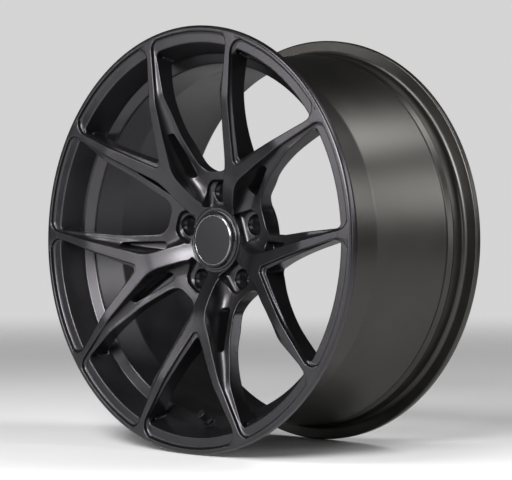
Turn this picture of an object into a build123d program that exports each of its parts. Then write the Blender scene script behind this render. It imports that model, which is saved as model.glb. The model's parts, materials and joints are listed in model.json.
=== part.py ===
"""An 18 x 8.5J monoblock forged wheel with five Y-shaped spokes, its centre cap and its tyre valve.

Millimetres. The origin is the wheel's centre. The wheel turns about Y, its face looks along -Y, +Z is up.
One spoke stands straight down, and the valve lies between its two arms.
A depth is measured back from the plane of the front lip.
"""
from build123d import *
from math import atan2, cos, degrees, radians, sin, sqrt, tan
import os

os.makedirs("parts", exist_ok=True)

# ---- driving dimensions: the rim -----------------------------------------------------------------
WIDTH = 235.0  # over both flanges, 215.9 between them
FLANGE_R = 248.5
SEAT_R = 231.0  # an 18 inch bead seat
FLANGE_THICK = 9.55
WELL_R = 212.0
WALL = 5.5
LIP_R = 242.0  # inner edge of the flat front lip
BAND_R = 229.0  # inner edge of the sunk band behind the lip
BAND_DEPTH = 5.5
FRONT = -WIDTH / 2
REAR = WIDTH / 2
NEAR = FRONT - 5  # where the cutting tools start, clear of the lip

# ---- driving dimensions: the spokes --------------------------------------------------------------
SPOKES = 5
STEP = 360 / SPOKES
FIRST_SPOKE = 180  # a turn that sends the spoke drawn upwards straight down
TRUNK_HALF = 10.2
ARM_ANGLE = 29.54  # outer edge of an arm, from the spoke's axis
ARM_POINT = (22.9, 112.0)
GAP_ANGLE = 32.64  # inner edge of an arm, at the face
GAP_APEX = 102.0
THROUGH_ANGLE = 34.7  # the same edge, below the step
THROUGH_APEX = 111.1
STEP_DEPTH = 5.0  # from the face down to the step inside each Y
SLOT_DEPTH = 13.0
LEVEL_R = 184.0  # where the ledges have risen to the sunk band
FIELD_ROOT = 4.0  # fillets where walls meet floors
STEP_ROOT = 2.0
LUG_ROOT = 3.0

# ---- driving dimensions: the hub -----------------------------------------------------------------
OFFSET = 38.0
MOUNT_FACE = -OFFSET
PAD_R = 74.0
HUB_BORE_R = 36.55
CAP_BORE_R = 31.05
BOSS_R = 38.6
BOSS_DEPTH = 48.5
BOSS_FACE = FRONT + BOSS_DEPTH
LUG_PCD = 114.3
LUG_HOLE_R = 7.5
LUG_SEAT_R = 12.0
LUG_SEAT_DEPTH = 66.0
LUG_FLOOR_DEPTH = 58.0
LUG_POCKET_HALF = 17.5
LUG_POCKET_END = 71.0

# ---- driving dimensions: the centre cap ----------------------------------------------------------
CAP_FACE_R = 27.8
BEZEL_R = 30.0
CAP_FLANGE_R = 35.2
SKIRT_R = 30.7
SKIRT_LENGTH = 14.8
RING_PLACE = (28.4, -12.4)
CAP_HEIGHT = 6.6  # from the boss to the bezel's front
CAP_LEGS = 8

# ---- driving dimensions: the valve ---------------------------------------------------------------
BAND_TOP = (218.5, FRONT + 36.0)  # radius and y of the sloping band that carries the valve
BAND_FOOT = (207.0, FRONT + 43.0)
VALVE_HOLE_R = 5.65
SHANK_R = 5.4
STEM_R = 4.2
THREAD_R = 3.85
SEAL_GAP = 0.05  # between the dust cap and the seal it turns on
STEM_TOP = 18.0  # along the stem, from the rim's inner surface
NUT_ACROSS = 12.0
WASHER_R = 7.3
SPOT_FACE_R = 7.8
VALVE_WALL = 5.8

# Front surface of the spokes, as (radius, depth).
FACE = [(BOSS_R, 47.5), (55, 35), (82, 20), (112, 12.5), (145, 5), (178, 0)]
# Front surface of the ledges beside them.
LEDGE = [(BOSS_R, 50), (71, 50), (86, 45.5), (102, 37), (126, 25.5), (150, 16.5), (LEVEL_R, BAND_DEPTH)]
# Rear surface of the spokes.
BACK = [(PAD_R + 6, 70), (92, 60), (118, 47), (135, 38), (160, 29.5), (182, 26.5), (205, 28.5), (223, 31.6)]


def at_depth(points, extra=0.0):
    """Points of a section from pairs of radius and depth."""
    return [(r, FRONT + depth + extra) for r, depth in points]


def on_circle(apex, angle, radius):
    """Where a line that leaves (0, apex) at an angle from the Y direction meets a circle about the origin."""
    lean = radians(angle)
    reach = sqrt(radius**2 - (apex * sin(lean)) ** 2) - apex * cos(lean)
    return (reach * sin(lean), apex + reach * cos(lean))


def turned(point, angle):
    """A point turned about the origin, anticlockwise in degrees."""
    c, s = cos(radians(angle)), sin(radians(angle))
    return (point[0] * c - point[1] * s, point[0] * s + point[1] * c)


def other_side(point):
    return (-point[0], point[1])


def space_before(points):
    """Half section of all that lies in front of a curved surface, level beyond its end."""
    start, end = points[0], points[-1]
    with BuildSketch() as space:
        with BuildLine():
            Polyline(start, (0, start[1]), (0, NEAR), (FLANGE_R, NEAR), (FLANGE_R, end[1]), end)
            Spline(*points, tangents=(Vector(*points[1]) - Vector(*start), (1, 0)))
        make_face()
    return space.sketch


def five_times(outline, first):
    """Copies of an outline round the wheel, one for each spoke."""
    with BuildSketch() as ring:
        for k in range(SPOKES):
            add(outline, rotation=first + k * STEP)
    return ring.sketch


def foot_edges(tool):
    """The edges where a tool's walls meet its floor."""
    low = tool.edges().filter_by(lambda edge: edge.center().Y > NEAR + 1)
    walls = low.filter_by(Axis.Y, reverse=True)
    return walls.filter_by(
        lambda edge: edge.geom_type != GeomType.CIRCLE or abs(edge.radius - LEVEL_R) > 0.1
    )


# ---- outlines, drawn for a spoke that stands up ---------------------------------------------------
def gap_outline(apex, angle, radius, apex_fillet, corner_fillet):
    """The window between the two arms of one Y."""
    corner = on_circle(apex, angle, radius)
    with BuildSketch() as gap:
        with BuildLine():
            Line((0, apex), corner)
            ThreePointArc(corner, (0, radius), other_side(corner))
            Line(other_side(corner), (0, apex))
        make_face()
        ends = gap.vertices().group_by(Axis.Y)
        fillet(ends[0], apex_fillet)
        fillet(ends[-1], corner_fillet)
    return gap.sketch


def pocket_outline():
    """The sunk field between two neighbouring Ys, from the hub boss to the lip."""
    half = STEP / 2
    arm_apex = ARM_POINT[1] - ARM_POINT[0] / tan(radians(ARM_ANGLE))
    bend_up = arm_apex + TRUNK_HALF / tan(radians(ARM_ANGLE))
    foot = turned((TRUNK_HALF, sqrt(BOSS_R**2 - TRUNK_HALF**2)), half)
    bend = turned((TRUNK_HALF, bend_up), half)
    tip = turned(on_circle(arm_apex, ARM_ANGLE, LIP_R), half)
    with BuildSketch() as pocket:
        with BuildLine():
            ThreePointArc(foot, (0, BOSS_R), other_side(foot))
            Polyline(other_side(foot), other_side(bend), other_side(tip))
            ThreePointArc(other_side(tip), (0, LIP_R), tip)
            Polyline(tip, bend, foot)
        make_face()
        rows = pocket.vertices().group_by(Axis.Y)
        fillet(rows[2], 13)
        fillet(rows[1], 50)
        fillet(rows[0], 6)
    return pocket.sketch


def ledge_window_outline():
    """The window through the ledges between two neighbouring Ys."""
    foot = (19.3, 81.0)
    bend = (34.6, 124.0)
    tip = (58.6, 222.9)
    with BuildSketch() as window:
        with BuildLine():
            Polyline(tip, bend, foot, other_side(foot), other_side(bend), other_side(tip))
            ThreePointArc(other_side(tip), (0, BAND_R + 1.5), tip)
        make_face()
        rows = window.vertices().group_by(Axis.Y)
        fillet(rows[2], 9)
        fillet(rows[1], 120)
        fillet(rows[0], 19)
    return window.sketch


def slot_outline():
    """The teardrop pocket in the ledge on one side of a spoke."""
    foot = (25.3, 80)
    tip = (37.6, 131)
    with BuildSketch() as slot:
        with BuildLine():
            Polyline((16.2, 80), foot, tip)
            Spline(tip, (27.5, 113), (19.5, 98), (16.2, 80))
        make_face()
        fillet(slot.vertices().group_by(Axis.Y)[-1], 1)
        fillet(slot.vertices().group_by(Axis.Y)[0], 3)
    return slot.sketch


def lug_pocket_outline():
    """The socket clearance round one lug hole, open towards the boss."""
    with BuildSketch() as pocket:
        with Locations((0, LUG_POCKET_END)):
            Rectangle(
                2 * LUG_POCKET_HALF,
                LUG_POCKET_END - BOSS_R,
                align=(Align.CENTER, Align.MAX),
            )
        fillet(pocket.vertices().group_by(Axis.Y)[-1], 11)
    return pocket.sketch


# ---- tools that shape the forging -----------------------------------------------------------------
BETWEEN = FIRST_SPOKE + STEP / 2
THROUGH_LENGTH = 105.0

with BuildPart() as gap_steps:
    with BuildSketch(Plane.XZ.offset(-NEAR)):
        add(five_times(gap_outline(GAP_APEX, GAP_ANGLE, LIP_R, 6.5, 13), FIRST_SPOKE))
    extrude(amount=-45)
    with BuildSketch(Plane.XY):
        add(space_before(at_depth(FACE[2:-1], STEP_DEPTH) + [(LEVEL_R, FRONT + BAND_DEPTH)]))
    revolve(axis=Axis.Y, mode=Mode.INTERSECT)
    fillet(foot_edges(gap_steps), STEP_ROOT)

with BuildPart() as fields:
    with BuildSketch(Plane.XZ.offset(-NEAR)):
        add(five_times(pocket_outline(), BETWEEN))
    extrude(amount=-65)
    with BuildSketch(Plane.XY):
        add(space_before(at_depth(LEDGE)))
    revolve(axis=Axis.Y, mode=Mode.INTERSECT)
    fillet(foot_edges(fields), FIELD_ROOT)

with BuildPart() as slots:
    with BuildSketch(Plane.XZ.offset(-NEAR)):
        add(five_times(slot_outline(), FIRST_SPOKE))
        add(five_times(mirror(slot_outline(), Plane.YZ), FIRST_SPOKE))
    extrude(amount=-80)
    with BuildSketch(Plane.XY):
        add(space_before(at_depth(LEDGE, SLOT_DEPTH)))
    revolve(axis=Axis.Y, mode=Mode.INTERSECT)

with BuildPart() as lug_pockets:
    with BuildSketch(Plane.XZ.offset(-BOSS_FACE + 3)):
        add(five_times(lug_pocket_outline(), BETWEEN))
    extrude(amount=-(LUG_FLOOR_DEPTH - BOSS_DEPTH + 3))
    fillet(foot_edges(lug_pockets).group_by(Axis.Y)[-1], LUG_ROOT)

with BuildPart() as windows:
    with BuildSketch(Plane.XZ.offset(-NEAR)):
        add(five_times(gap_outline(THROUGH_APEX, THROUGH_ANGLE, BAND_R + 1.5, 4.5, 9), FIRST_SPOKE))
        add(five_times(ledge_window_outline(), BETWEEN))
    extrude(amount=-THROUGH_LENGTH)

# ---- wheel_body -----------------------------------------------------------------------------------
BORE_STEP = -54.0  # where the hub bore narrows to the cap's bore
HUMP_R = 229.8


def round_corner(sketch, point, radius):
    """Rounds the corner of a sketch that lies nearest to a point."""
    fillet(sketch.vertices().sort_by_distance(point)[0], radius)


with BuildPart() as disc:
    with BuildSketch(Plane.XY) as disc_section:
        with BuildLine():
            Spline(*at_depth(FACE), tangents=((1, -0.8), (1, 0)))
            Polyline(
                (FACE[-1][0], FRONT),
                (LIP_R + 1.5, FRONT),
                (LIP_R + 1.5, FRONT + 8),
                (227, FRONT + 8),
                (BACK[-1][0], FRONT + 14),
                (BACK[-1][0], FRONT + BACK[-1][1]),
            )
            Spline(*at_depth(BACK))
            Polyline(
                (BACK[0][0], FRONT + BACK[0][1]),
                (PAD_R, MOUNT_FACE),
                (HUB_BORE_R + 1.5, MOUNT_FACE),
                (HUB_BORE_R, MOUNT_FACE - 1.5),
                (HUB_BORE_R, BORE_STEP),
                (CAP_BORE_R, BORE_STEP),
                (CAP_BORE_R, BOSS_FACE),
                (BOSS_R, BOSS_FACE),
                (BOSS_R, FRONT + FACE[0][1]),
            )
        make_face()
    revolve(axis=Axis.Y)
    add(windows.part, mode=Mode.SUBTRACT)

BAND_TILT = degrees(atan2(BAND_TOP[0] - BAND_FOOT[0], BAND_FOOT[1] - BAND_TOP[1]))
VALVE_LEAN = 90 - BAND_TILT  # between the valve's axis and the wheel's
VALVE_FOOT = Vector(0, (BAND_TOP[1] + BAND_FOOT[1]) / 2, -(BAND_TOP[0] + BAND_FOOT[0]) / 2)
VALVE_AXIS = Vector(0, -cos(radians(VALVE_LEAN)), sin(radians(VALVE_LEAN)))
VALVE = Plane(origin=VALVE_FOOT, x_dir=(1, 0, 0), z_dir=VALVE_AXIS)
VALVE_LINE = Axis(VALVE_FOOT, VALVE_AXIS)
VALVE_SECTION = Plane(origin=VALVE_FOOT, x_dir=(1, 0, 0), z_dir=VALVE_AXIS.cross(Vector(1, 0, 0)) * -1)

with BuildPart() as wheel_body:
    with BuildSketch(Plane.XY) as rim_section:
        with BuildLine():
            Polyline(
                (BAND_R, FRONT),
                (FLANGE_R, FRONT),
                (FLANGE_R, FRONT + FLANGE_THICK),
                (SEAT_R, FRONT + FLANGE_THICK),
                (229.3, FRONT + 28),
                (HUMP_R, FRONT + 31),
                (229, FRONT + 34),
                (WELL_R, FRONT + 48),
                (WELL_R, -29),
                (228.6, 75),
                (227.2, 81),
                (HUMP_R, 88),
                (229.3, 91),
                (SEAT_R, REAR - FLANGE_THICK),
                (FLANGE_R, REAR - FLANGE_THICK),
                (FLANGE_R, REAR),
                (241, REAR),
                (238.5, REAR - 3.5),
                (228, REAR - 7),
                (224.5, REAR - 14),
                (222.5, 75),
                (WELL_R - WALL, -29),
                BAND_FOOT,
                BAND_TOP,
                (220, FRONT + 33),
                (BAND_R, FRONT + BAND_DEPTH),
                close=True,
            )
        make_face()
        for radius, corners in (
            (3.5, [(FLANGE_R, FRONT), (FLANGE_R, REAR)]),
            (2, [(FLANGE_R, FRONT + FLANGE_THICK), (FLANGE_R, REAR - FLANGE_THICK), (238.5, REAR - 3.5)]),
            (6, [(SEAT_R, FRONT + FLANGE_THICK), (SEAT_R, REAR - FLANGE_THICK), (228, REAR - 7)]),
            (3, [(229, FRONT + 34), (227.2, 81), BAND_FOOT]),
            (9, [(WELL_R, FRONT + 48)]),
            (25, [(WELL_R, -29), (WELL_R - WALL, -29)]),
            (1, [(HUMP_R, FRONT + 31), (HUMP_R, 88), BAND_TOP, (220, FRONT + 33), (241, REAR)]),
        ):
            for point in corners:
                round_corner(rim_section, point, radius)
    revolve(axis=Axis.Y)
    add(disc.part)
    add(gap_steps.part, mode=Mode.SUBTRACT)
    add(fields.part, mode=Mode.SUBTRACT)
    add(slots.part, mode=Mode.SUBTRACT)
    add(lug_pockets.part, mode=Mode.SUBTRACT)
    with BuildSketch(Plane.XZ.offset(-FRONT - BOSS_DEPTH)):
        with PolarLocations(LUG_PCD / 2, SPOKES, start_angle=90 + BETWEEN):
            Circle(LUG_SEAT_R)
    extrude(amount=-(LUG_SEAT_DEPTH - BOSS_DEPTH), mode=Mode.SUBTRACT)
    with Locations(Plane.XZ.offset(-FRONT - LUG_SEAT_DEPTH)):
        with PolarLocations(LUG_PCD / 2, SPOKES, start_angle=90 + BETWEEN):
            CounterSinkHole(LUG_HOLE_R, LUG_SEAT_R, depth=40, counter_sink_angle=60)
    with BuildSketch(Plane.XZ.offset(-MOUNT_FACE)) as pad_pockets:
        with PolarLocations(57, SPOKES, start_angle=90 + FIRST_SPOKE):
            RectangleRounded(22, 26, 6)
    extrude(amount=9, mode=Mode.SUBTRACT)
    for radius, start, length in (
        (VALVE_HOLE_R, -15, 16),
        (SPOT_FACE_R, 0, 6),
        (SPOT_FACE_R + 1.4, -VALVE_WALL - 8, 8),
    ):
        with BuildSketch(VALVE.offset(start)):
            Circle(radius)
        extrude(amount=length, mode=Mode.SUBTRACT)

# ---- the centre cap: sections run outwards from the boss face, along -Y ---------------------------
CAP = Plane(origin=(0, BOSS_FACE, 0), x_dir=(1, 0, 0), z_dir=(0, 0, -1))

with BuildPart() as cap_body:
    with BuildSketch(CAP) as cap_section:
        with BuildLine():
            Polyline(
                (0, 2.6),
                (0, 5.2),
                (CAP_FACE_R + 0.1, 5.2),
                (CAP_FACE_R + 0.1, 4.4),
                (BEZEL_R, 4.4),
                (BEZEL_R, 5.6),
                (31.0, 5.4),
                (32.4, 3.0),
                (33.4, 1.9),
                (CAP_FLANGE_R, 1.6),
                (CAP_FLANGE_R, 0),
                (SKIRT_R, 0),
                (SKIRT_R, -SKIRT_LENGTH),
                (28.4, -SKIRT_LENGTH),
                (28.4, 2.6),
                close=True,
            )
        make_face()
        round_corner(cap_section, (CAP_FLANGE_R, 1.6), 0.8)
    revolve(axis=Axis.Y)
    with BuildSketch(Plane.XZ.offset(-BOSS_FACE - 6)):
        with PolarLocations(29.5, CAP_LEGS):
            Rectangle(6, 9)
    extrude(amount=-14, mode=Mode.SUBTRACT)
    with BuildSketch(CAP):
        with Locations(RING_PLACE):
            Circle(1.15)
    revolve(axis=Axis.Y, mode=Mode.SUBTRACT)

with BuildPart() as cap_bezel:
    with BuildSketch(CAP) as bezel_section:
        with BuildLine():
            Polyline(
                (CAP_FACE_R + 0.1, 4.4),
                (BEZEL_R, 4.4),
                (BEZEL_R, 6.0),
                (BEZEL_R - 0.7, CAP_HEIGHT),
                (CAP_FACE_R + 0.5, CAP_HEIGHT),
                (CAP_FACE_R + 0.1, 6.2),
                close=True,
            )
        make_face()
    revolve(axis=Axis.Y)

with BuildPart() as cap_badge:
    with BuildSketch(Plane.XZ.offset(-BOSS_FACE + 5.2)):
        Circle(CAP_FACE_R)
    extrude(amount=0.8)
    chamfer(cap_badge.edges().group_by(Axis.Y)[0], 0.2)

with BuildPart() as cap_spring_ring:
    with BuildSketch(CAP):
        with Locations(RING_PLACE):
            Circle(1.1)
    revolve(axis=Axis.Y, revolution_arc=340)

# ---- the valve: sections run along the stem from the rim's inner surface --------------------------
with BuildPart() as valve_stem:
    with BuildSketch(VALVE_SECTION):
        Polygon(
            (1.3, -11),
            (8.5, -11),
            (8.5, -9.5),
            (SHANK_R, -8.5),
            (SHANK_R, 5.8),
            (STEM_R, 7.2),
            (STEM_R, STEM_TOP - 9.8),
            (THREAD_R, STEM_TOP - 9.2),
            (THREAD_R, STEM_TOP - 0.5),
            (THREAD_R - 0.5, STEM_TOP),
            (2.6, STEM_TOP),
            (2.6, STEM_TOP - 9.0),
            (1.9, STEM_TOP - 10.6),
            (1.9, STEM_TOP - 22.0),
            (1.3, STEM_TOP - 22.8),
            align=None,
        )
    revolve(axis=VALVE_LINE)

with BuildPart() as valve_grommet:
    with BuildSketch(VALVE_SECTION):
        Polygon((SHANK_R, -8.5), (8.3, -9.35), (8.3, -VALVE_WALL), (SHANK_R, -VALVE_WALL), align=None)
    revolve(axis=VALVE_LINE)

with BuildPart() as valve_washer:
    with BuildSketch(VALVE_SECTION):
        Polygon(
            (SHANK_R + 0.1, 0),
            (WASHER_R, 0),
            (WASHER_R, 1.0),
            (WASHER_R - 0.2, 1.2),
            (SHANK_R + 0.1, 1.2),
            align=None,
        )
    revolve(axis=VALVE_LINE)

with BuildPart() as valve_nut:
    with BuildSketch(VALVE.offset(1.2)):
        RegularPolygon(NUT_ACROSS / 2, 6, major_radius=False)
        Circle(SHANK_R, mode=Mode.SUBTRACT)
    extrude(amount=4.2)
    with BuildSketch(VALVE_SECTION):
        Polygon((0, 1.0), (7.2, 1.0), (7.2, 4.5), (6.0, 5.6), (0, 5.6), align=None)
    revolve(axis=VALVE_LINE, mode=Mode.INTERSECT)

with BuildPart() as valve_core_body:
    with BuildSketch(VALVE_SECTION):
        Polygon(
            (0.95, STEM_TOP - 8.6),
            (2.3, STEM_TOP - 8.6),
            (2.55, STEM_TOP - 7.8),
            (2.55, STEM_TOP - 1.6),
            (1.6, STEM_TOP - 1.6),
            (1.6, STEM_TOP - 3.5),
            (0.95, STEM_TOP - 4.0),
            align=None,
        )
    revolve(axis=VALVE_LINE)

with BuildPart() as valve_core_gasket:
    with BuildSketch(VALVE_SECTION):
        Polygon(
            (0.95, STEM_TOP - 10.1),
            (2.0, STEM_TOP - 10.1),
            (2.45, STEM_TOP - 8.7),
            (0.95, STEM_TOP - 8.7),
            align=None,
        )
    revolve(axis=VALVE_LINE)

with BuildPart() as valve_core_pin:
    with BuildSketch(VALVE_SECTION):
        Polygon(
            (0, STEM_TOP - 20.4),
            (0.75, STEM_TOP - 20.4),
            (0.75, STEM_TOP - 1.1),
            (0.5, STEM_TOP - 0.8),
            (0, STEM_TOP - 0.8),
            align=None,
        )
    revolve(axis=VALVE_LINE)

with BuildPart() as valve_core_cup:
    with BuildSketch(VALVE_SECTION):
        Polygon(
            (0.75, STEM_TOP - 13.4),
            (1.6, STEM_TOP - 13.4),
            (1.6, STEM_TOP - 12.0),
            (1.2, STEM_TOP - 11.4),
            (0.75, STEM_TOP - 11.4),
            align=None,
        )
    revolve(axis=VALVE_LINE)

with BuildPart() as valve_core_spring:
    with BuildLine() as coil:
        Helix(
            pitch=1.3,
            height=6.2,
            radius=1.42,
            center=VALVE_FOOT + VALVE_AXIS * (STEM_TOP - 21.6),
            direction=VALVE_AXIS,
        )
    with BuildSketch(Plane(origin=coil.line @ 0, z_dir=coil.line % 0)):
        Circle(0.19)
    sweep(is_frenet=True)

with BuildPart() as valve_cap:
    with BuildSketch(VALVE_SECTION):
        Polygon(
            (0, STEM_TOP + 1.1),
            (THREAD_R + 0.08, STEM_TOP + 1.1),
            (THREAD_R + 0.08, STEM_TOP - 8.8),
            (4.9, STEM_TOP - 8.8),
            (4.9, STEM_TOP + 1.4),
            (4.1, STEM_TOP + 2.2),
            (0, STEM_TOP + 2.2),
            align=None,
        )
    revolve(axis=VALVE_LINE)
    with BuildSketch(VALVE.offset(STEM_TOP - 7.6)):
        with PolarLocations(4.9, 16):
            Rectangle(0.5, 0.7)
    extrude(amount=7, mode=Mode.SUBTRACT)

with BuildPart() as valve_cap_seal:
    with BuildSketch(VALVE_SECTION):
        Polygon(
            (0, STEM_TOP),
            (3.7, STEM_TOP),
            (3.7, STEM_TOP + 1.1 - SEAL_GAP),
            (0, STEM_TOP + 1.1 - SEAL_GAP),
            align=None,
        )
    revolve(axis=VALVE_LINE)

# ---- what is written ------------------------------------------------------------------------------
PIECES = {
    "wheel_body": wheel_body,
    "cap_body": cap_body,
    "cap_bezel": cap_bezel,
    "cap_badge": cap_badge,
    "cap_spring_ring": cap_spring_ring,
    "valve_stem": valve_stem,
    "valve_grommet": valve_grommet,
    "valve_washer": valve_washer,
    "valve_nut": valve_nut,
    "valve_core_body": valve_core_body,
    "valve_core_gasket": valve_core_gasket,
    "valve_core_pin": valve_core_pin,
    "valve_core_cup": valve_core_cup,
    "valve_core_spring": valve_core_spring,
    "valve_cap": valve_cap,
    "valve_cap_seal": valve_cap_seal,
}
for name, piece in PIECES.items():
    piece.part.label = name
    export_step(piece.part, f"parts/{name}.step")
print("wheel body, kg:", wheel_body.part.volume * 2.7e-6)
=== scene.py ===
"""Looks for a forged racing wheel rim: satin gunmetal metal, a plain centre cap and a black tyre valve.

Metres in Blender; the shape of the forging is worked out in millimetres and scaled at the end.
The forging's face is a distance field on one tenth of the wheel, so all its corners are rounded as a
forged and coated wheel's are. Its barrel is turned.
"""

import json
import math

import bmesh
import bpy
import numpy as np
import openvdb
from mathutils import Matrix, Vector, kdtree


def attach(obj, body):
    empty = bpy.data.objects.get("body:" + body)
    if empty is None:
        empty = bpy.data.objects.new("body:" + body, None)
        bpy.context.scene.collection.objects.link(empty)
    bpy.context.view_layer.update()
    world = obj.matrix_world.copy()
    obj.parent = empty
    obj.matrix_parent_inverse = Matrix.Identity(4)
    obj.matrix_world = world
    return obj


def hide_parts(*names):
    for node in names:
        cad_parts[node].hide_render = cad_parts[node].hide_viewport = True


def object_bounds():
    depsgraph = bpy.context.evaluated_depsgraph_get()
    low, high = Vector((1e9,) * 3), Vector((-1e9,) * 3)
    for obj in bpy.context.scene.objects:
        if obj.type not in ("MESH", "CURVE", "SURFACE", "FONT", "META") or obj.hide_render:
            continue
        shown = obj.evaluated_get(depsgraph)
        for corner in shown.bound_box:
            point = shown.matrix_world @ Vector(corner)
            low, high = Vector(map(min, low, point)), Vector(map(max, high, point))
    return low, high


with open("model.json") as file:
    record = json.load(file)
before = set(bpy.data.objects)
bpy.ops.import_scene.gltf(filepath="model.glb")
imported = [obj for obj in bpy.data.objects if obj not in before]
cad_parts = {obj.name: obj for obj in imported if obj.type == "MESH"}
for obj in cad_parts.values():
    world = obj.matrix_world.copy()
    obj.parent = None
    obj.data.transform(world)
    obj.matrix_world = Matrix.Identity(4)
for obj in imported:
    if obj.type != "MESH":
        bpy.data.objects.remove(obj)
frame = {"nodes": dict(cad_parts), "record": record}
CAD_BOX = [list(corner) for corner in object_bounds()]

# ---- the forging's dimensions, in millimetres; a depth is measured back from the front lip -----------
MM = 0.001
SPOKES = 5
HALF_STEP = math.radians(36.0)
FRONT = -117.5
WIDTH = 235.0
LIP_R = 242.0
FLANGE_R = 248.5
SEAT_R = 231.0
BAND_R = 229.0
BAND_DEPTH = 5.5
WELL_R = 212.0
WALL = 5.5
HUMP_R = 229.8
LEVEL_R = 184.0
BOSS_R = 38.6
BOSS_DEPTH = 48.5
CAP_BORE_R = 31.05
HUB_BORE_R = 36.55
PAD_R = 74.0
PAD_DEPTH = 79.5
HUB_STEP_DEPTH = 63.5  # where the cap's bore meets the hub's bore
TRUNK_HALF = 10.2
ARM_ANGLE = 29.54  # outer edge of an arm, from the spoke's axis
ARM_POINT = (22.9, 112.0)
GAP_ANGLE, GAP_APEX = 32.64, 102  # inner edge of an arm, at the face
THROUGH_ANGLE, THROUGH_APEX = 34.7, 111.1  # the same edge, below the step
SLOT_DEPTH = 13
LUG_RADIUS = 57.15
LUG_HOLE_R = 7.5
LUG_SEAT_R = 12.0
LUG_SEAT_DEPTH = 66.0
LUG_SEAT_SLOPE = math.radians(30)
LUG_FLOOR_DEPTH = 58
LUG_POCKET_HALF = 17.5
LUG_POCKET_END = 71
RECESS = [(-13, 46, 6), (13, 46, 6), (13, 68, 6), (-13, 68, 6)]  # in the hub's back, between lug holes
RECESS_DEPTH = 9
FLANGE_THICK = 9.55
WINDOW_R = BAND_R + 1.5
SPLIT_DEPTH = 45.5  # where the turned barrel takes over from the face

FACE = [(BOSS_R, 47.5), (55, 35), (82, 20), (112, 12.5), (145, 5), (178, 0)]
LEDGE = [(BOSS_R, 50), (71, 50), (86, 45.5), (102, 37), (126, 25.5), (150, 16.5), (LEVEL_R, BAND_DEPTH)]
STEP = [(82, 25), (112, 17.5), (145, 10), (LEVEL_R, BAND_DEPTH)]
SLOT = ((19.4, 85.4, 6.0), (35.2, 126.5, 2.7))  # across, up and radius at its two ends
BACK = [(80, 70), (92, 60), (118, 47), (135, 38), (160, 29.5), (182, 26.5), (205, 28.5), (223, 31.6)]

# ---- fillets, in millimetres -------------------------------------------------------------------------
WINDOW_EDGE = 1.6
CRISP_EDGE = 1.0
SLOT_EDGE = 1.2
STEP_ROOT = 3.0
SLOT_ROOT = 3.0
FIELD_ROOT, FIELD_ROOT_MORE = 3.0, 10.0  # at the rim, and what it gains towards the hub
ROOT_START_R, ROOT_SPAN = 205, 80  # where that gain starts, and over how far inwards
LUG_ROOT = 5.0
LUG_EDGE = 0.8
RECESS_ROOT = 2.0
RIM_JOIN = 3.5

VOXEL = 0.75
KEEP = 0.09  # share of the triangles kept, so that the face has under 200 000
SEAM = 0.002  # millimetres within which seam points are the same point


# ---- plane geometry ---------------------------------------------------------------------------------
def curve(points, level_end=True, per_span=10):
    """A smooth line through points given by rising radius, as cubic pieces."""
    p = np.array(points, float)
    step = np.diff(p[:, 0])
    slope = np.diff(p[:, 1]) / step
    inner = (slope[:-1] * step[1:] + slope[1:] * step[:-1]) / (step[:-1] + step[1:])
    m = np.concatenate([[slope[0]], inner, [0.0 if level_end else slope[-1]]])
    out = []
    for i in range(len(step)):
        t = np.linspace(0, 1, per_span, endpoint=False)[:, None]
        h = step[i]
        a = 2 * t**3 - 3 * t**2 + 1
        b = t**3 - 2 * t**2 + t
        c = -2 * t**3 + 3 * t**2
        d = t**3 - t**2
        z = a * p[i, 1] + b * h * m[i] + c * p[i + 1, 1] + d * h * m[i + 1]
        out.append(np.hstack([p[i, 0] + t * h, z]))
    out.append(p[-1:])
    return [tuple(q) for q in np.vstack(out)]


def rounded(corners, per_arc=8):
    """An outline from (x, z) or (x, z, fillet radius) corners, with its fillets as short chords."""
    pts = [np.array(c[:2], float) for c in corners]
    radii = [c[2] if len(c) > 2 else 0.0 for c in corners]
    out = []
    n = len(pts)
    for i in range(n):
        here, radius = pts[i], radii[i]
        if radius <= 0:
            out.append(tuple(here))
            continue
        u = pts[i - 1] - here
        v = pts[(i + 1) % n] - here
        u /= np.linalg.norm(u)
        v /= np.linalg.norm(v)
        half = math.acos(max(-1.0, min(1.0, float(u @ v)))) / 2
        reach = radius / math.tan(half)
        middle = u + v
        middle /= np.linalg.norm(middle)
        centre = here + middle * radius / math.sin(half)
        start, end = here + u * reach, here + v * reach
        a0 = math.atan2(*(start - centre)[::-1])
        a1 = math.atan2(*(end - centre)[::-1])
        turn = (a1 - a0 + math.pi) % (2 * math.pi) - math.pi
        for k in range(per_arc + 1):
            a = a0 + turn * k / per_arc
            out.append((centre[0] + radius * math.cos(a), centre[1] + radius * math.sin(a)))
    return out


def distance(x, z, outline):
    """Signed distance from points to a closed outline, negative inside."""
    p = np.array(outline, np.float64)
    q = np.roll(p, -1, axis=0)
    best = np.full(x.shape, 1e12)
    inside = np.zeros(x.shape, bool)
    for (ax, az), (bx, bz) in zip(p, q):
        dx, dz = bx - ax, bz - az
        size = dx * dx + dz * dz
        if size < 1e-12:
            continue
        t = np.clip(((x - ax) * dx + (z - az) * dz) / size, 0, 1)
        best = np.minimum(best, (x - ax - t * dx) ** 2 + (z - az - t * dz) ** 2)
        if dz != 0:
            crosses = ((az > z) != (bz > z)) & (x < dx * (z - az) / dz + ax)
            inside ^= crosses
    return np.where(inside, -1, 1) * np.sqrt(best)


def meet(a, b, radius):
    """What lies in both, with its edge rounded."""
    over = np.hypot(np.maximum(radius + a, 0), np.maximum(radius + b, 0))
    return np.minimum(-radius, np.maximum(a, b)) + over


def join(a, b, radius):
    """What lies in either, with the corner between them filled."""
    under = np.hypot(np.maximum(radius - a, 0), np.maximum(radius - b, 0))
    return np.maximum(radius, np.minimum(a, b)) - under


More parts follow.
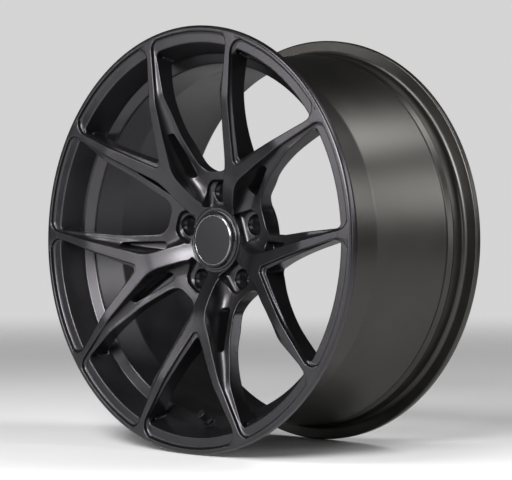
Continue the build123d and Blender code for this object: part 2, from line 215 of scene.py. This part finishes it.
def on_circle(apex, angle, radius):
    """Where a line that leaves (0, apex) at an angle from the spoke's axis meets a circle."""
    lean = math.radians(angle)
    reach = math.sqrt(radius**2 - (apex * math.sin(lean)) ** 2) - apex * math.cos(lean)
    return (reach * math.sin(lean), apex + reach * math.cos(lean))


def arc(radius, half_angle, count=14):
    """Points on a circle from the axis out to an angle, both sides left out."""
    return [
        (radius * math.sin(half_angle * k / count), radius * math.cos(half_angle * k / count))
        for k in range(1, count)
    ]


def both_sides(right):
    """A symmetric closed outline from its right half, listed from the top of the axis to its foot."""
    left = [(-c[0],) + tuple(c[1:]) for c in reversed(right) if abs(c[0]) > 1e-9]
    return list(right) + left


def gap_outline(apex, angle, radius, apex_fillet, corner_fillet):
    """The opening inside a Y: two straight arms and an arc."""
    corner = on_circle(apex, angle, radius)
    half = math.atan2(corner[0], corner[1])
    right = [(0, radius)] + arc(radius, half) + [corner + (corner_fillet,), (0, apex, apex_fillet)]
    return rounded(both_sides(right))


def pocket_outline():
    """The sunk field between two spokes, seen with the field's middle upwards."""
    trunk = TRUNK_HALF
    apex = ARM_POINT[1] - ARM_POINT[0] / math.tan(math.radians(ARM_ANGLE))
    bend = (trunk, apex + trunk / math.tan(math.radians(ARM_ANGLE)))
    foot = (trunk, math.sqrt(BOSS_R**2 - trunk**2))
    tip = on_circle(apex, ARM_ANGLE, LIP_R)

    def turned(p):
        c, s = math.cos(HALF_STEP), math.sin(HALF_STEP)
        return (-(p[0] * c - p[1] * s), p[0] * s + p[1] * c)

    foot, bend, tip = turned(foot), turned(bend), turned(tip)
    half = math.atan2(tip[0], tip[1])
    right = [(0, LIP_R)] + arc(LIP_R, half) + [tip + (13,), bend + (50,), foot + (6,), (0, BOSS_R)]
    return rounded(both_sides(right))


def window_outline():
    """The opening between two spokes."""
    foot, bend, tip = (19.3, 81.0), (34.6, 124.0), (58.6, 222.9)
    half = math.atan2(tip[0], tip[1])
    right = [(0, WINDOW_R)] + arc(WINDOW_R, half) + [tip + (9,), bend + (120,), foot + (18,), (0, foot[1])]
    return rounded(both_sides(right), per_arc=12)


def slot_distance(x, z):
    """Signed distance to the teardrop pocket beside the spoke's axis."""
    (ax, az, ar), (bx, bz, br) = SLOT
    dx, dz = bx - ax, bz - az
    t = np.clip(((x - ax) * dx + (z - az) * dz) / (dx * dx + dz * dz), 0, 1)
    return np.hypot(x - ax - t * dx, z - az - t * dz) - (ar + t * (br - ar))


# ---- the forging's face as a distance field --------------------------------------------------------
def by_radius(outline, radii, table_r, depths):
    """A distance field of something turned, from the outline of its section."""
    r, d = np.meshgrid(table_r, depths, indexing="ij")
    table = distance(r, d, outline).astype(np.float32)
    at = (radii - table_r[0]) / (table_r[1] - table_r[0])
    low = np.clip(at.astype(int), 0, len(table_r) - 2)
    part = (at - low)[..., None].astype(np.float32)
    return table[low] * (1 - part) + table[low + 1] * part


def behind(points):
    """Section of all that lies behind a curved surface."""
    return [(0, 200)] + [(0, points[0][1])] + points + [(300, points[-1][1]), (300, 200)]


def rim_section(first, last):
    """The rim's section between two depths, as corners with fillets."""
    rear = WIDTH
    corners = [
        (BAND_R, 0),
        (FLANGE_R, 0, 3.5),
        (FLANGE_R, FLANGE_THICK, 2),
        (SEAT_R, FLANGE_THICK, 6),
        (229.3, 28),
        (HUMP_R, 31, 1),
        (229, 34, 3),
        (WELL_R, 48, 9),
        (WELL_R, 88.5, 25),
        (228.6, 192.5),
        (227.2, 198.5, 3),
        (HUMP_R, 205.5, 1),
        (229.3, 208.5),
        (SEAT_R, rear - FLANGE_THICK, 6),
        (FLANGE_R, rear - FLANGE_THICK, 2),
        (FLANGE_R, rear, 3.5),
        (241, rear, 1),
        (238.5, rear - 3.5, 2),
        (228, rear - 7, 6),
        (224.5, rear - 14),
        (222.5, 192.5),
        (WELL_R - WALL, 88.5, 25),
        (207, 43, 3),
        (218.5, 36, 1),
        (220, 33, 1),
        (BAND_R, BAND_DEPTH),
    ]
    outline = rounded(corners, per_arc=6)
    return cut_level(cut_level(outline, first, 1), last, -1)


def cut_level(outline, depth, side):
    """What is left of an outline on one side of a depth."""
    out = []
    n = len(outline)
    for i in range(n):
        a, b = outline[i], outline[(i + 1) % n]
        a_in = (a[1] - depth) * side >= 0
        b_in = (b[1] - depth) * side >= 0
        if a_in:
            out.append(a)
        if a_in != b_in:
            t = (depth - a[1]) / (b[1] - a[1])
            out.append((a[0] + t * (b[0] - a[0]), depth))
    return out


def face_field():
    """The field of one tenth of the face and a margin, with its grid's first point."""
    xs = np.arange(-4 * VOXEL, 152, VOXEL)
    zs = np.arange(20, 252, VOXEL)
    ds = np.arange(-2.5 * VOXEL, 83, VOXEL)
    x, z = np.meshgrid(xs, zs, indexing="ij")
    r = np.hypot(x, z)
    turn = np.abs(np.arctan2(x, z))
    turn = np.where(turn > HALF_STEP, 2 * HALF_STEP - turn, turn)
    fx, fz = r * np.sin(turn), r * np.cos(turn)
    bx = np.abs(r * np.sin(HALF_STEP - turn))
    bz = r * np.cos(HALF_STEP - turn)
    table_r = np.arange(10, 270, 0.5)

    def flat(field):
        return field[..., None].astype(np.float32)

    def turned(outline):
        return by_radius(outline, r, table_r, ds)

    back = curve(BACK, level_end=False)
    disc = turned(
        rounded(
            [
                (CAP_BORE_R, BOSS_DEPTH, 0.8),
                (BOSS_R, BOSS_DEPTH, 0.5),
                *curve(FACE),
                (LIP_R + 1.5, 0),
                (LIP_R + 1.5, 8),
                (227, 8),
                (223, 14),
                *reversed(back),
                (PAD_R, PAD_DEPTH, 2),
                (HUB_BORE_R, PAD_DEPTH, 1),
                (HUB_BORE_R, HUB_STEP_DEPTH),
                (CAP_BORE_R, HUB_STEP_DEPTH),
            ]
        )
    )
    windows = np.minimum(
        distance(fx, fz, gap_outline(THROUGH_APEX, THROUGH_ANGLE, WINDOW_R, 4.5, 9)),
        distance(bx, bz, window_outline()),
    )
    solid = meet(disc, -flat(windows), WINDOW_EDGE)
    rim = turned(rim_section(0, SPLIT_DEPTH))
    deep = np.clip((ds - 6) / 8, 0, 1).astype(np.float32)
    solid = join(solid, rim, 0.02 + RIM_JOIN * deep)

    # the step inside each Y
    gap = flat(distance(fx, fz, gap_outline(GAP_APEX, GAP_ANGLE, LIP_R, 6.5, 15)))
    solid = meet(solid, -meet(gap, -turned(behind(curve(STEP))), STEP_ROOT), CRISP_EDGE)
    # the sunk field between two spokes, with a wider fillet at its foot nearer the hub
    root = flat(FIELD_ROOT + FIELD_ROOT_MORE * np.clip((ROOT_START_R - r) / ROOT_SPAN, 0, 1))
    field = meet(flat(distance(bx, bz, pocket_outline())), -turned(behind(curve(LEDGE))), root)
    solid = meet(solid, -field, CRISP_EDGE)
    floor = [(radius, depth + SLOT_DEPTH) for radius, depth in LEDGE]
    slot = meet(flat(slot_distance(fx, fz)), -turned(behind(curve(floor))), SLOT_ROOT)
    solid = meet(solid, -slot, SLOT_EDGE)
    # the lug pocket, its cone seat and its hole
    half, end = LUG_POCKET_HALF, LUG_POCKET_END
    pocket = rounded([(-half, BOSS_R), (half, BOSS_R), (half, end, 13), (-half, end, 13)])
    level = ds[None, None, :].astype(np.float32)
    lug = meet(flat(distance(bx, bz, pocket)), level - LUG_FLOOR_DEPTH, LUG_ROOT)
    solid = meet(solid, -lug, CRISP_EDGE)
    hole = flat(np.hypot(bx, bz - LUG_RADIUS))
    across = (hole - LUG_SEAT_R) * math.cos(LUG_SEAT_SLOPE)
    cone = across + (level - LUG_SEAT_DEPTH) * math.sin(LUG_SEAT_SLOPE)
    cone = np.maximum(cone, LUG_SEAT_DEPTH - level)
    open_above = BOSS_DEPTH - level
    seat = np.maximum(np.maximum(hole - LUG_SEAT_R, level - LUG_SEAT_DEPTH - 0.5), open_above)
    bore = np.minimum(np.minimum(cone, np.maximum(hole - LUG_HOLE_R, open_above)), seat)
    solid = meet(solid, -bore, LUG_EDGE)
    # the recess in the hub's back
    recess = flat(distance(fx, fz, rounded(RECESS)))
    recess = meet(recess, (PAD_DEPTH - RECESS_DEPTH) - level, RECESS_ROOT)
    solid = meet(solid, -recess, LUG_EDGE)
    return solid.astype(np.float32), np.array([xs[0], zs[0], ds[0]])


def sample(grids, at):
    """Values of grids between their points, at fractional indices."""
    low = np.floor(at).astype(int)
    top = np.array(grids[0].shape) - 2
    low = np.clip(low, 0, top)
    part = at - low
    out = [np.zeros(len(at)) for _ in grids]
    for corner in range(8):
        bits = [(corner >> k) & 1 for k in range(3)]
        weight = np.ones(len(at))
        for k in range(3):
            weight = weight * (part[:, k] if bits[k] else 1 - part[:, k])
        i, j, k = (low + bits).T
        for n, grid in enumerate(grids):
            out[n] += weight * grid[i, j, k]
    return out


def face_mesh():
    """One tenth of the face, trimmed at both its mirror planes: points in mm, triangles and normals."""
    field, first = face_field()
    grid = openvdb.FloatGrid(background=5.0)
    grid.copyFromArray(np.ascontiguousarray(field))
    points, triangles, quads = grid.convertToPolygons(isovalue=0.0, adaptivity=0.0)
    mesh = bpy.data.meshes.new("part_face")
    flats = np.asarray(quads).tolist() + np.asarray(triangles).tolist()
    faces = [tuple(corners[::-1]) for corners in flats]
    mesh.from_pydata((np.asarray(points) * VOXEL + first).tolist(), [], faces)
    piece = bpy.data.objects.new("part_face", mesh)
    bpy.context.scene.collection.objects.link(piece)
    shrink = piece.modifiers.new("shrink", "DECIMATE")
    shrink.ratio = KEEP
    evaluated = piece.evaluated_get(bpy.context.evaluated_depsgraph_get())
    shrunk = bpy.data.meshes.new_from_object(evaluated)
    bpy.data.objects.remove(piece)
    bm = bmesh.new()
    bm.from_mesh(shrunk)
    across = Vector((math.cos(HALF_STEP), -math.sin(HALF_STEP), 0))
    for normal in (Vector((-1, 0, 0)), across):
        bmesh.ops.bisect_plane(
            bm,
            geom=bm.verts[:] + bm.edges[:] + bm.faces[:],
            plane_co=(0, 0, 0),
            plane_no=normal,
            clear_outer=True,
        )
    bmesh.ops.triangulate(bm, faces=bm.faces[:])
    bm.verts.index_update()
    co = np.array([v.co for v in bm.verts], float)
    tri = np.array([[v.index for v in f.verts] for f in bm.faces], int)
    bm.free()
    slopes = np.gradient(field, VOXEL)

    def fall(at):
        """Unit normals, and how far points lie from the surface."""
        value, *slope = sample([field, *slopes], (at - first) / VOXEL)
        normal = np.stack(slope, 1)
        return value, normal / (np.linalg.norm(normal, axis=1, keepdims=True) + 1e-9)

    side = np.array([across.x, across.y])
    on_axis = np.abs(co[:, 0]) < 1e-4
    on_side = np.abs(co[:, :2] @ side) < 1e-3
    for _ in range(2):
        value, normal = fall(co)
        normal[on_axis, 0] = 0
        normal[on_side, :2] -= np.outer(normal[on_side, :2] @ side, side)
        co = co - np.clip(value, -0.5 * VOXEL, 0.5 * VOXEL)[:, None] * normal
    corner = co[tri]
    inward = corner.mean(1, keepdims=True) - corner
    size = np.linalg.norm(inward, axis=2, keepdims=True) + 1e-9
    # a large triangle takes its normals from inside itself, so an edge doesn't shade the flat beside it
    shift = np.clip((size - 1.0) * 0.6, 0, 3.0)
    _, normal = fall((corner + inward / size * shift).reshape(-1, 3))
    return co, tri, normal.reshape(-1, 3, 3), on_axis | on_side


def whole_face(co, tri, normal, seam):
    """All ten copies of the trimmed part, joined at their seams."""
    points, faces, normals = [], [], []
    for k in range(SPOKES):
        for flip in (1, -1):
            c, s = math.cos(2 * HALF_STEP * k), math.sin(2 * HALF_STEP * k)
            turn = np.array([[c, -s], [s, c]])
            p, n = co.copy(), normal.copy()
            p[:, 0] *= flip
            n[:, :, 0] *= flip
            p[:, :2] = p[:, :2] @ turn.T
            n[:, :, :2] = n[:, :, :2] @ turn.T
            faces.append((tri if flip == 1 else tri[:, ::-1]) + len(co) * len(points))
            points.append(p)
            normals.append(n if flip == 1 else n[:, ::-1])
    p, t, n = np.vstack(points), np.vstack(faces), np.vstack(normals)
    edge = np.flatnonzero(np.tile(seam, 2 * SPOKES))
    tree = kdtree.KDTree(len(edge))
    for i in edge:
        tree.insert(p[i], int(i))
    tree.balance()
    same = np.arange(len(p))
    for i in edge:
        same[i] = min(found[1] for found in tree.find_range(p[i], SEAM))
    t = same[same[t]]
    whole = (t[:, 0] != t[:, 1]) & (t[:, 1] != t[:, 2]) & (t[:, 0] != t[:, 2])
    t, n = t[whole], n[whole]
    used, packed = np.unique(t, return_inverse=True)
    return p[used], packed.reshape(-1, 3), n


def to_row(v, shift=0.0):
    """From the field's across, up, depth to the row's x, y, z, with the spoke turned downwards."""
    return np.stack([-v[:, 0], v[:, 2] + shift, -v[:, 1]], 1)


# ---- pieces ------------------------------------------------------------------------------------------
def make_face():
    p, t, n = whole_face(*face_mesh())
    p = to_row(p, FRONT)
    n = to_row(n.reshape(-1, 3)).reshape(-1, 3, 3)
    low, high = np.array(CAD_BOX[0]) / MM, np.array(CAD_BOX[1]) / MM
    p = np.clip(p, low, high)  # every point is held inside the CAD's box
    a, b, c = p[t[:, 0]], p[t[:, 1]], p[t[:, 2]]
    if float(np.einsum("ij,ij->i", a, np.cross(b, c)).sum()) < 0:
        t, n = t[:, ::-1], n[:, ::-1]
    mesh = bpy.data.meshes.new("wheel_face")
    mesh.from_pydata((p * MM).tolist(), [], t.tolist())
    mesh.shade_smooth()
    mesh.normals_split_custom_set(n.reshape(-1, 3).tolist())
    piece = bpy.data.objects.new("wheel_face", mesh)
    bpy.context.scene.collection.objects.link(piece)
    return piece


def lathe(name, outline, count):
    """A closed turned piece from an outline of (radius, depth) in mm, smooth except at real corners."""
    line = [q for i, q in enumerate(outline) if math.dist(q, outline[i - 1]) > 1e-4]
    p = np.array(line, float)
    area = float(np.sum(p[:, 0] * np.roll(p[:, 1], -1) - np.roll(p[:, 0], -1) * p[:, 1]))
    if area < 0:
        p = p[::-1].copy()
    n = len(p)
    run = np.roll(p, -1, axis=0) - p
    size = np.linalg.norm(run, axis=1)
    side = np.stack([run[:, 1], -run[:, 0]], 1) / size[:, None]
    starts, ends = side.copy(), side.copy()
    for i in range(n):
        j = (i - 1) % n
        if float(side[i] @ side[j]) > math.cos(math.radians(32)):
            best = side[i] if size[i] > size[j] else side[j]
            if 0.5 < size[i] / size[j] < 2.0:
                best = side[i] + side[j]
            starts[i] = ends[j] = best / np.linalg.norm(best)
    turn = 2 * math.pi * np.arange(count) / count
    sin, cos = np.sin(turn), np.cos(turn)
    points = np.stack(
        [np.outer(sin, p[:, 0]), np.tile(p[:, 1] + FRONT, (count, 1)), np.outer(cos, p[:, 0])], 2
    ).reshape(-1, 3)
    faces, normals = [], []
    for k in range(count):
        m = (k + 1) % count
        for i in range(n):
            j = (i + 1) % n
            faces.append((k * n + i, k * n + j, m * n + j, m * n + i))
            for q, w in ((starts[i], k), (ends[i], k), (ends[i], m), (starts[i], m)):
                normals.append((q[0] * sin[w], q[1], q[0] * cos[w]))
    first = [points[v] for v in faces[0]]
    across = np.cross(first[1] - first[0], first[2] - first[0])
    if float(across @ np.array(normals[0])) < 0:
        faces = [f[::-1] for f in faces]
        normals = [normals[4 * i + k] for i in range(len(faces)) for k in (3, 2, 1, 0)]
    mesh = bpy.data.meshes.new(name)
    mesh.from_pydata((points * MM).tolist(), [], faces)
    mesh.shade_smooth()
    mesh.normals_split_custom_set(normals)
    piece = bpy.data.objects.new(name, mesh)
    bpy.context.scene.collection.objects.link(piece)
    return piece


# ---- materials ---------------------------------------------------------------------------------------
class Graph:
    """A material's nodes, with short calls for the ones used here."""

    def __init__(self, name):
        self.material = bpy.data.materials.new(name)
        self.material.use_nodes = True
        self.tree = self.material.node_tree
        self.shader = self.tree.nodes["Principled BSDF"]
        self.place = self.node("ShaderNodeTexCoord").outputs["Object"]

    def node(self, kind, **settings):
        made = self.tree.nodes.new(kind)
        for key, value in settings.items():
            setattr(made, key, value)
        return made

    def link(self, source, target):
        self.tree.links.new(source, target)

    def noise(self, scale, detail=3.0, rough=0.5, along=None):
        made = self.node("ShaderNodeTexNoise", noise_dimensions="1D" if along else "3D")
        made.inputs["Scale"].default_value = scale
        made.inputs["Detail"].default_value = detail
        made.inputs["Roughness"].default_value = rough
        self.link(along or self.place, made.inputs["W" if along else "Vector"])
        return made.outputs["Fac"]

    def math(self, operation, a, b=None):
        made = self.node("ShaderNodeMath", operation=operation)
        for socket, value in zip(made.inputs, (a, b)):
            if isinstance(value, (int, float)):
                socket.default_value = value
            elif value is not None:
                self.link(value, socket)
        return made.outputs[0]

    def spread(self, factor, low, high):
        made = self.node("ShaderNodeMapRange")
        made.inputs["From Min"].default_value = 0.3
        made.inputs["From Max"].default_value = 0.7
        made.inputs["To Min"].default_value = low
        made.inputs["To Max"].default_value = high
        self.link(factor, made.inputs["Value"])
        return made.outputs["Result"]

    def colour(self, factor, low, high):
        made = self.node("ShaderNodeMix", data_type="RGBA")
        made.inputs["A"].default_value = (*low, 1)
        made.inputs["B"].default_value = (*high, 1)
        self.link(self.spread(factor, 0, 1), made.inputs["Factor"])
        return made.outputs["Result"]

    def turned_distance(self):
        """Distance along any turned surface: the radius plus the depth."""
        split = self.node("ShaderNodeSeparateXYZ")
        self.link(self.place, split.inputs[0])
        x, y, z = split.outputs
        squares = self.math("ADD", self.math("MULTIPLY", x, x), self.math("MULTIPLY", z, z))
        radius = self.math("SQRT", squares)
        return self.math("ADD", radius, y)

    def bump(self, heights, bevel=0.0):
        """Bumps one over another from (factor, height in metres) pairs, over rounded edges if asked."""
        normal = None
        if bevel:
            soft = self.node("ShaderNodeBevel", samples=6)
            soft.inputs["Radius"].default_value = bevel
            normal = soft.outputs[0]
        for factor, height in heights:
            made = self.node("ShaderNodeBump")
            made.inputs["Distance"].default_value = height
            self.link(factor, made.inputs["Height"])
            if normal:
                self.link(normal, made.inputs["Normal"])
            normal = made.outputs[0]
        self.link(normal, self.shader.inputs["Normal"])

    def set(self, **values):
        for key, value in values.items():
            self.shader.inputs[key.replace("_", " ")].default_value = value


DRIFT_SCALE = 18.0  # all three in cycles per metre
GRAIN_SCALE = 2600.0
TURNING_SCALE = 2200.0


def coat(name, low, high, metallic, rough, grain_height=8e-6, bevel=0.0, lines=0.0):
    """A satin coat or moulding: slow drift of tone, fine grain, and turning marks if asked."""
    g = Graph(name)
    drift = g.noise(DRIFT_SCALE, detail=4)
    speck = g.noise(GRAIN_SCALE, detail=2)
    tone = g.math("ADD", g.math("MULTIPLY", drift, 0.55), g.math("MULTIPLY", speck, 0.45))
    g.link(g.colour(tone, low, high), g.shader.inputs["Base Color"])
    heights = [(speck, grain_height), (g.noise(GRAIN_SCALE / 5, detail=2), grain_height * 1.5)]
    wear = g.math("ADD", g.math("MULTIPLY", drift, 0.6), g.math("MULTIPLY", speck, 0.4))
    if lines:
        marks = g.noise(TURNING_SCALE, detail=5, rough=0.62, along=g.turned_distance())
        heights.append((marks, lines))
        wear = g.math("ADD", g.math("MULTIPLY", wear, 0.45), g.math("MULTIPLY", marks, 0.55))
    g.link(g.spread(wear, rough - 0.06, rough + 0.06), g.shader.inputs["Roughness"])
    g.bump(heights, bevel)
    g.set(Metallic=metallic)
    return g.material


def dress(piece, material):
    piece.data.materials.clear()
    piece.data.materials.append(material)


face_coat = coat("gunmetal_coat", (0.040, 0.0385, 0.042), (0.054, 0.052, 0.056), 0.92, 0.31)
barrel_coat = coat(
    "turned_gunmetal",
    (0.046, 0.0445, 0.042),
    (0.060, 0.058, 0.054),
    0.95,
    0.35,
    lines=1.4e-5,
)
plastic = coat(
    "cap_plastic",
    (0.006, 0.006, 0.0065),
    (0.010, 0.010, 0.0105),
    0.0,
    0.16,
    grain_height=2e-6,
    bevel=0.0004,
)
badge = coat(
    "badge_satin",
    (0.020, 0.020, 0.022),
    (0.028, 0.028, 0.030),
    0.7,
    0.34,
    grain_height=3e-6,
    bevel=0.0003,
)
bright = coat(
    "bezel_bright",
    (0.20, 0.20, 0.21),
    (0.30, 0.30, 0.31),
    1.0,
    0.20,
    grain_height=2e-6,
    bevel=0.0003,
    lines=4e-6,
)
black = coat(
    "valve_black",
    (0.010, 0.010, 0.011),
    (0.017, 0.017, 0.018),
    0.6,
    0.32,
    grain_height=3e-6,
    bevel=0.0003,
)
rubber = coat(
    "valve_rubber",
    (0.012, 0.012, 0.012),
    (0.020, 0.020, 0.020),
    0.0,
    0.62,
    grain_height=1e-5,
    bevel=0.0002,
)
brass = coat(
    "valve_brass",
    (0.50, 0.34, 0.13),
    (0.62, 0.45, 0.20),
    1.0,
    0.28,
    grain_height=2e-6,
    bevel=0.0001,
    lines=4e-6,
)
wire = coat("spring_wire", (0.34, 0.34, 0.35), (0.46, 0.46, 0.47), 1.0, 0.32, grain_height=2e-6)

FINISHES = {
    "cap_plastic": plastic,
    "bezel_metal": bright,
    "badge": badge,
    "spring_steel": wire,
    "valve_metal": black,
    "valve_rubber": rubber,
    "valve_brass": brass,
    "wheel_metal": face_coat,
}
for part in frame["record"]["subparts"]:
    dress(frame["nodes"][part["node"]], FINISHES[part["material_slot"]])

# ---- the forging ----------------------------------------------------------------------------------
wheel_face = make_face()
wheel_barrel = lathe("wheel_barrel", rim_section(SPLIT_DEPTH, WIDTH), 384)
dress(wheel_face, face_coat)
dress(wheel_barrel, barrel_coat)
# The barrel's inside takes the face's coat, a shade darker than the turned outside: partly the inside's
# own coated finish without turning marks, partly painted shade inside the barrel.
wheel_barrel.data.materials.append(face_coat)
for face in wheel_barrel.data.polygons:
    across = Vector((face.center.x, 0, face.center.z))
    face.material_index = 1 if face.normal.dot(across) < 0 else 0  # the inside has the face's coat
for piece in (wheel_face, wheel_barrel):
    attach(piece, "wheel")
    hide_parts("wheel_body")

# ---- floor, light and camera --------------------------------------------------------------------------
FLOOR_Z = CAD_BOX[0][2] - 0.0002
FLOOR_R = 9.0
FADE_START, FADE_END = 0.9, 4.0  # the floor fades into the backdrop between these


def make_floor():
    mesh = bpy.data.meshes.new("floor")
    turns = np.linspace(0, 2 * math.pi, 96, endpoint=False)
    ring = [(FLOOR_R * math.cos(a), FLOOR_R * math.sin(a), FLOOR_Z) for a in turns]
    mesh.from_pydata(ring, [], [tuple(range(len(ring)))])
    floor = bpy.data.objects.new("floor", mesh)
    bpy.context.scene.collection.objects.link(floor)
    g = Graph("pale_floor")
    tone = g.colour(g.noise(3.0), (0.70, 0.70, 0.70), (0.72, 0.72, 0.72))
    g.link(tone, g.shader.inputs["Base Color"])
    g.set(Roughness=0.75)
    reach = g.node("ShaderNodeVectorMath", operation="LENGTH")
    g.link(g.place, reach.inputs[0])
    fade = g.node("ShaderNodeMapRange", interpolation_type="SMOOTHSTEP")
    fade.inputs["From Min"].default_value = FADE_START
    fade.inputs["From Max"].default_value = FADE_END
    g.link(reach.outputs["Value"], fade.inputs["Value"])
    clear = g.node("ShaderNodeBsdfTransparent")
    blend = g.node("ShaderNodeMixShader")
    g.link(fade.outputs["Result"], blend.inputs[0])
    g.link(g.shader.outputs[0], blend.inputs[1])
    g.link(clear.outputs[0], blend.inputs[2])
    g.link(blend.outputs[0], g.tree.nodes["Material Output"].inputs["Surface"])
    mesh.materials.append(g.material)


LAMP_DISTANCE = 2.5
LAMP_SIZE = (0.9, 0.8)
LAMPS = {  # direction from the wheel, and power in watts
    "front_right": ((0.38, -0.82, 0.42), 72),
    "front_high": ((0.0, -0.64, 0.77), 34),
    "front": ((0.0, -0.97, 0.26), 17),
    "front_left": ((-0.49, -0.85, 0.17), 15),
    "right_rear": ((0.72, 0.60, 0.34), 16),
    "right": ((0.97, 0.17, 0.17), 10),
    "high_rear": ((0.49, 0.41, 0.77), 26),
}


def softbox(name, direction, power):
    """A soft rectangular lamp that faces the wheel's centre."""
    lamp = bpy.data.lights.new(name, "AREA")
    lamp.shape = "RECTANGLE"
    lamp.size, lamp.size_y = LAMP_SIZE
    lamp.energy = power
    holder = bpy.data.objects.new(name, lamp)
    place = Vector(direction).normalized() * LAMP_DISTANCE
    holder.location = place
    holder.rotation_euler = (-place).to_track_quat("-Z", "Y").to_euler()
    bpy.context.scene.collection.objects.link(holder)


make_floor()
for name, (direction, power) in LAMPS.items():
    softbox(name, direction, power)

bpy.context.scene.view_settings.view_transform = "Standard"
BACKDROP = (0.66, 0.66, 0.66, 1)  # what the camera sees
FILL = (0.02, 0.02, 0.0205, 1)  # what lights the wheel
world = bpy.data.worlds.new("studio")
bpy.context.scene.world = world
world.use_nodes = True
nodes, links = world.node_tree.nodes, world.node_tree.links
backdrop = nodes.new("ShaderNodeBackground")
backdrop.inputs["Color"].default_value = BACKDROP
fill = nodes["Background"]
fill.inputs["Color"].default_value = FILL
seen = nodes.new("ShaderNodeLightPath")
mix = nodes.new("ShaderNodeMixShader")
links.new(seen.outputs["Is Camera Ray"], mix.inputs[0])
links.new(fill.outputs[0], mix.inputs[1])
links.new(backdrop.outputs[0], mix.inputs[2])
links.new(mix.outputs[0], nodes["World Output"].inputs["Surface"])

VIEW_TURN = math.radians(43.0)
VIEW_DISTANCE = 2.185
LENS = 127.3
eye = bpy.data.cameras.new("camera")
eye.lens = LENS
eye.sensor_width = 36.0
eye.clip_start = 0.05
camera = bpy.data.objects.new("camera", eye)
camera.location = (VIEW_DISTANCE * math.sin(VIEW_TURN), -VIEW_DISTANCE * math.cos(VIEW_TURN), 0)
camera.rotation_euler = (math.pi / 2, 0, VIEW_TURN)
bpy.context.scene.collection.objects.link(camera)
bpy.context.scene.camera = camera
